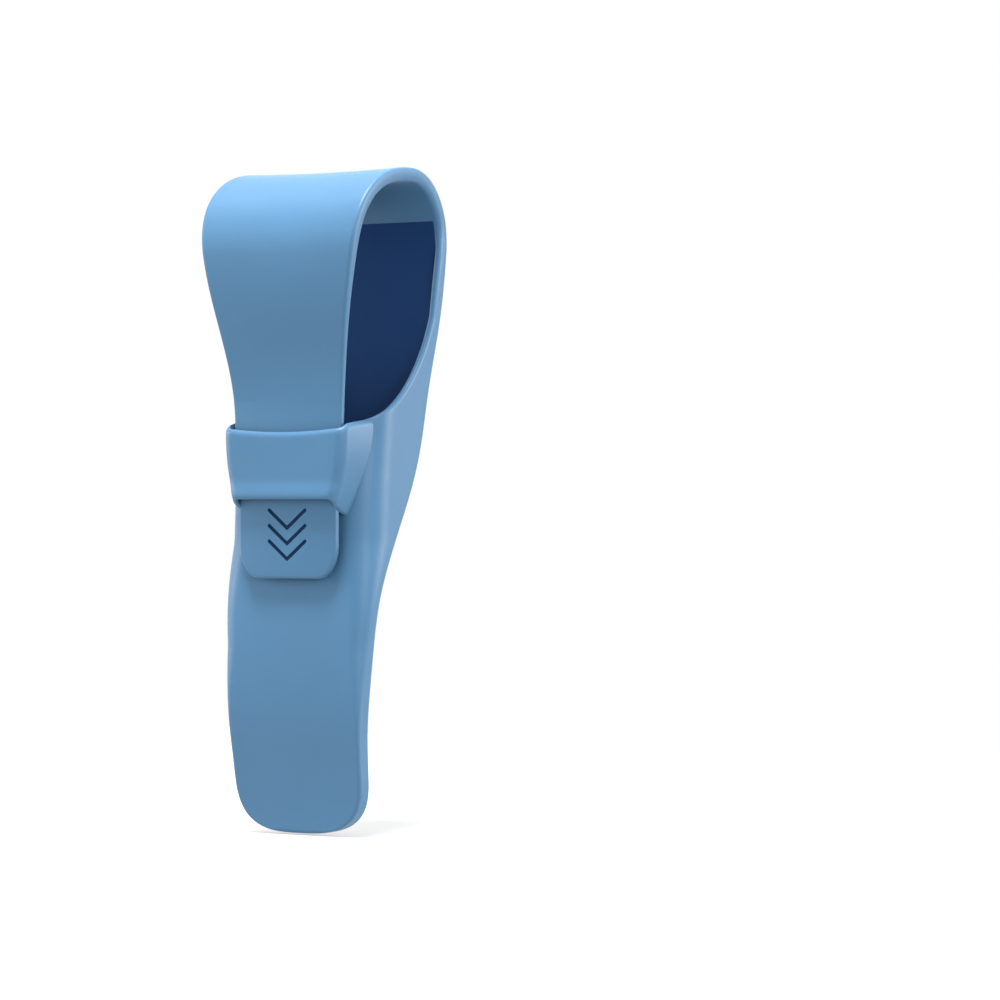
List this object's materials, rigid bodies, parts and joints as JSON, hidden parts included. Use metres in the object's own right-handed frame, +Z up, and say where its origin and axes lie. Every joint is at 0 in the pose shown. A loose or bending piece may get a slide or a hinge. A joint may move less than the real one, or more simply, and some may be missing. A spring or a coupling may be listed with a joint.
{
  "type": "strap-closed silicone sheath",
  "caption": "Tall flat soft sheath: a tapered pouch with a wide fold-over hood that narrows to a strap, tucks behind a keeper band and ends in a pull tab.",
  "frame": {"origin": "highest point inside the hood, midway across its width, where a peg or finger would carry the hanging sheath", "axes": "+X across the sheath, -Y towards the strap and pull tab, +Z up from the toe to the hood"},
  "size_m": [0.0492, 0.046, 0.172],
  "materials": {
    "silicone": "matte, softly moulded, with a faint satin bloom"
  },
  "bodies": {
    "pouch": {"toe_cap": "silicone", "front_panel": "silicone", "back_panel": "silicone", "left_wall": "silicone", "right_wall": "silicone", "tongue": "silicone", "left_wing": "silicone", "right_wing": "silicone", "keeper_front": "silicone", "keeper_left_web": "silicone", "keeper_right_web": "silicone"},
    "hood_rear": {"hood_rear": "silicone"},
    "hood_crown": {"hood_crown": "silicone"},
    "hood_front": {"hood_front": "silicone"},
    "strap_brow": {"strap_brow": "silicone"},
    "strap_upper": {"strap_upper": "silicone"},
    "strap_middle": {"strap_middle": "silicone"},
    "strap_lower": {"strap_lower": "silicone"},
    "strap_neck": {"strap_neck": "silicone"},
    "strap_end": {"strap_end": "silicone", "pull_tab": "silicone"}
  },
  "joints": [
    {"name": "crease_flex", "type": "hinge", "parent": "pouch", "child": "hood_rear", "pos_m": [0, 0.01481, -0.0084], "axis": [1, 0, 0], "range_deg": [-14.24, 0], "stiffness_Nm_per_rad": 0.012},
    {"name": "nape_flex", "type": "hinge", "parent": "hood_rear", "child": "hood_crown", "pos_m": [0, 0.01021, -0.00212], "axis": [1, 0, 0], "range_deg": [-16.39, 0], "stiffness_Nm_per_rad": 0.012},
    {"name": "crown_flex", "type": "hinge", "parent": "hood_crown", "child": "hood_front", "pos_m": [0, -0.00547, 0.0015], "axis": [1, 0, 0], "range_deg": [-15.6, 0], "stiffness_Nm_per_rad": 0.012},
    {"name": "brow_flex", "type": "hinge", "parent": "hood_front", "child": "strap_brow", "pos_m": [0, -0.02514, -0.01358], "axis": [1, 0, 0], "range_deg": [-2.15, 0], "stiffness_Nm_per_rad": 0.002},
    {"name": "shoulder_flex", "type": "hinge", "parent": "strap_brow", "child": "strap_upper", "pos_m": [0, -0.02585, -0.0235], "axis": [1, 0, 0], "range_deg": [0, 19.12], "stiffness_Nm_per_rad": 0.002},
    {"name": "upper_flex", "type": "hinge", "parent": "strap_upper", "child": "strap_middle", "pos_m": [0, -0.02494, -0.03297], "axis": [1, 0, 0], "range_deg": [0, 40.96], "stiffness_Nm_per_rad": 0.002},
    {"name": "middle_flex", "type": "hinge", "parent": "strap_middle", "child": "strap_lower", "pos_m": [0, -0.02339, -0.04245], "axis": [1, 0, 0], "range_deg": [0, 39.4], "stiffness_Nm_per_rad": 0.002},
    {"name": "lower_flex", "type": "hinge", "parent": "strap_lower", "child": "strap_neck", "pos_m": [0, -0.02199, -0.05192], "axis": [1, 0, 0], "range_deg": [-10.15, 0], "stiffness_Nm_per_rad": 0.002},
    {"name": "neck_flex", "type": "hinge", "parent": "strap_neck", "child": "strap_end", "pos_m": [0, -0.02142, -0.0614], "axis": [1, 0, 0], "range_deg": [-40.96, 0], "stiffness_Nm_per_rad": 0.002}
  ],
  "couplings": [
    {"joint": "crease_flex", "follows": "crown_flex", "ratio": 0.9125},
    {"joint": "nape_flex", "follows": "crown_flex", "ratio": 1.05},
    {"joint": "brow_flex", "follows": "crown_flex", "ratio": 0.1375},
    {"joint": "shoulder_flex", "follows": "crown_flex", "ratio": -1.225},
    {"joint": "upper_flex", "follows": "crown_flex", "ratio": -2.625},
    {"joint": "middle_flex", "follows": "crown_flex", "ratio": -2.525},
    {"joint": "lower_flex", "follows": "crown_flex", "ratio": 0.65},
    {"joint": "neck_flex", "follows": "crown_flex", "ratio": 2.625}
  ]
}
